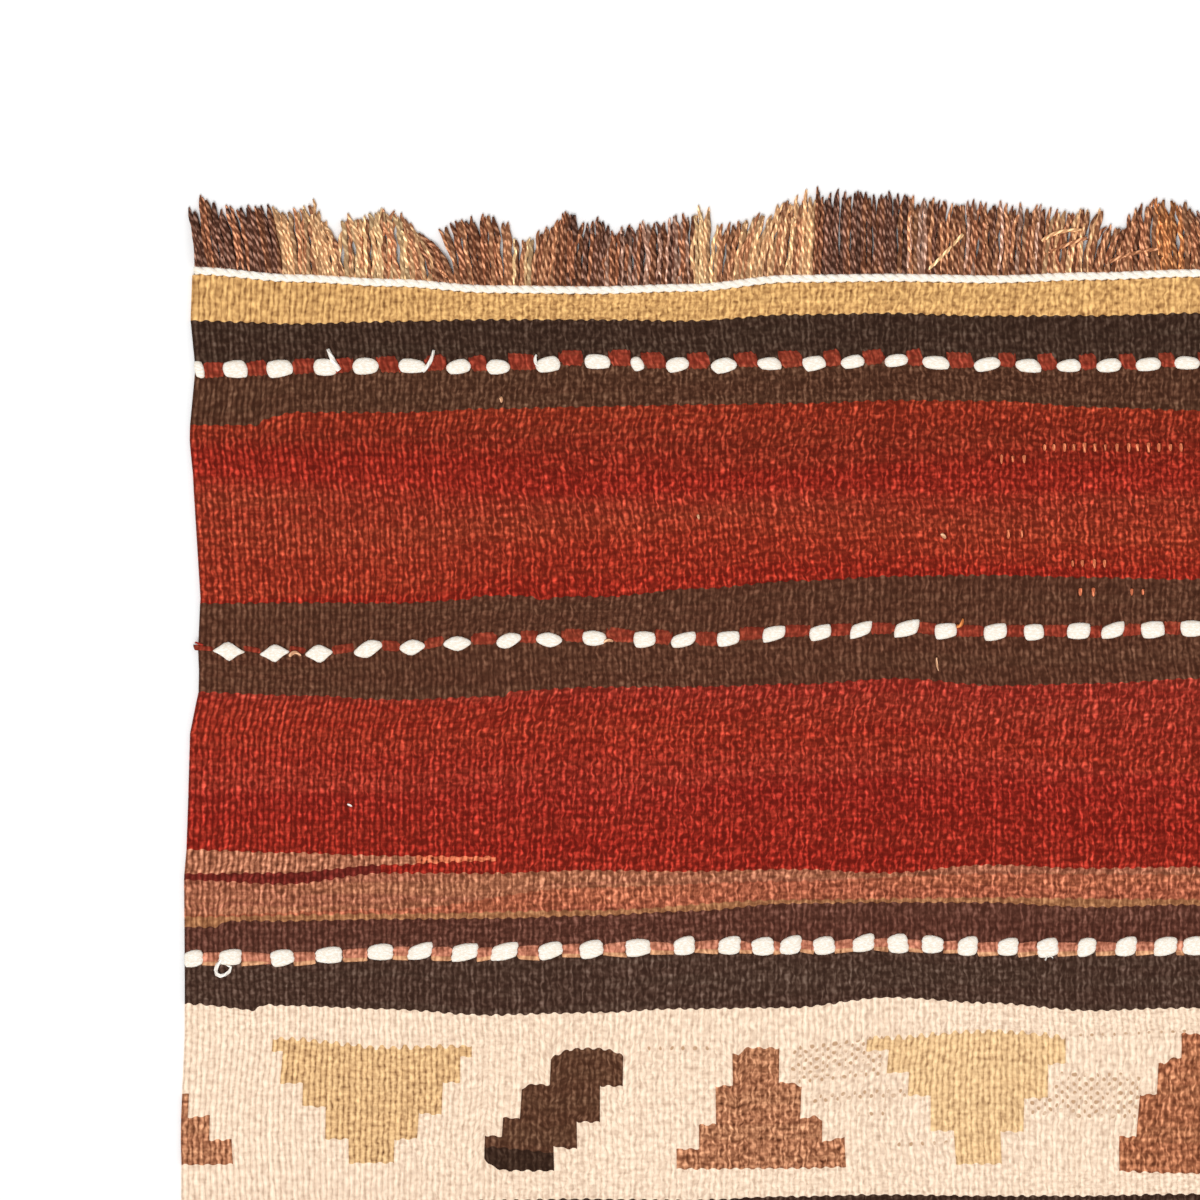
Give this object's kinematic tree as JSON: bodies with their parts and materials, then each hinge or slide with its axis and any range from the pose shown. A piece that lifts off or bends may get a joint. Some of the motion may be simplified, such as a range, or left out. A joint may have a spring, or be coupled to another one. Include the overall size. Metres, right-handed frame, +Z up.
{
  "type": "kilim rug",
  "caption": "Flat-woven wool kilim rug lying flat, with striped and stepped-motif bands, raised wrapped rows, a twined cord across each end and short cut fringe.",
  "frame": {"origin": "on the floor, under the middle of the rug", "axes": "+Z up out of the floor, +Y along the warps to the far fringe, X along the wefts"},
  "size_m": [1.0074, 1.4934, 0.004],
  "materials": {
    "cloth_wool": "weft-faced plain weave in wool yarn, matt, with fine ribs",
    "cord_cotton": "twined white cotton yarn, matt",
    "fringe_wool": "two-ply undyed wool warp ends in dark brown, tan and grey-brown, matt"
  },
  "bodies": {
    "root": {"cloth": "cloth_wool", "twined_cord_far": "cord_cotton", "twined_cord_near": "cord_cotton", "fringe_far": "fringe_wool", "fringe_near": "fringe_wool"}
  },
  "joints": []
}
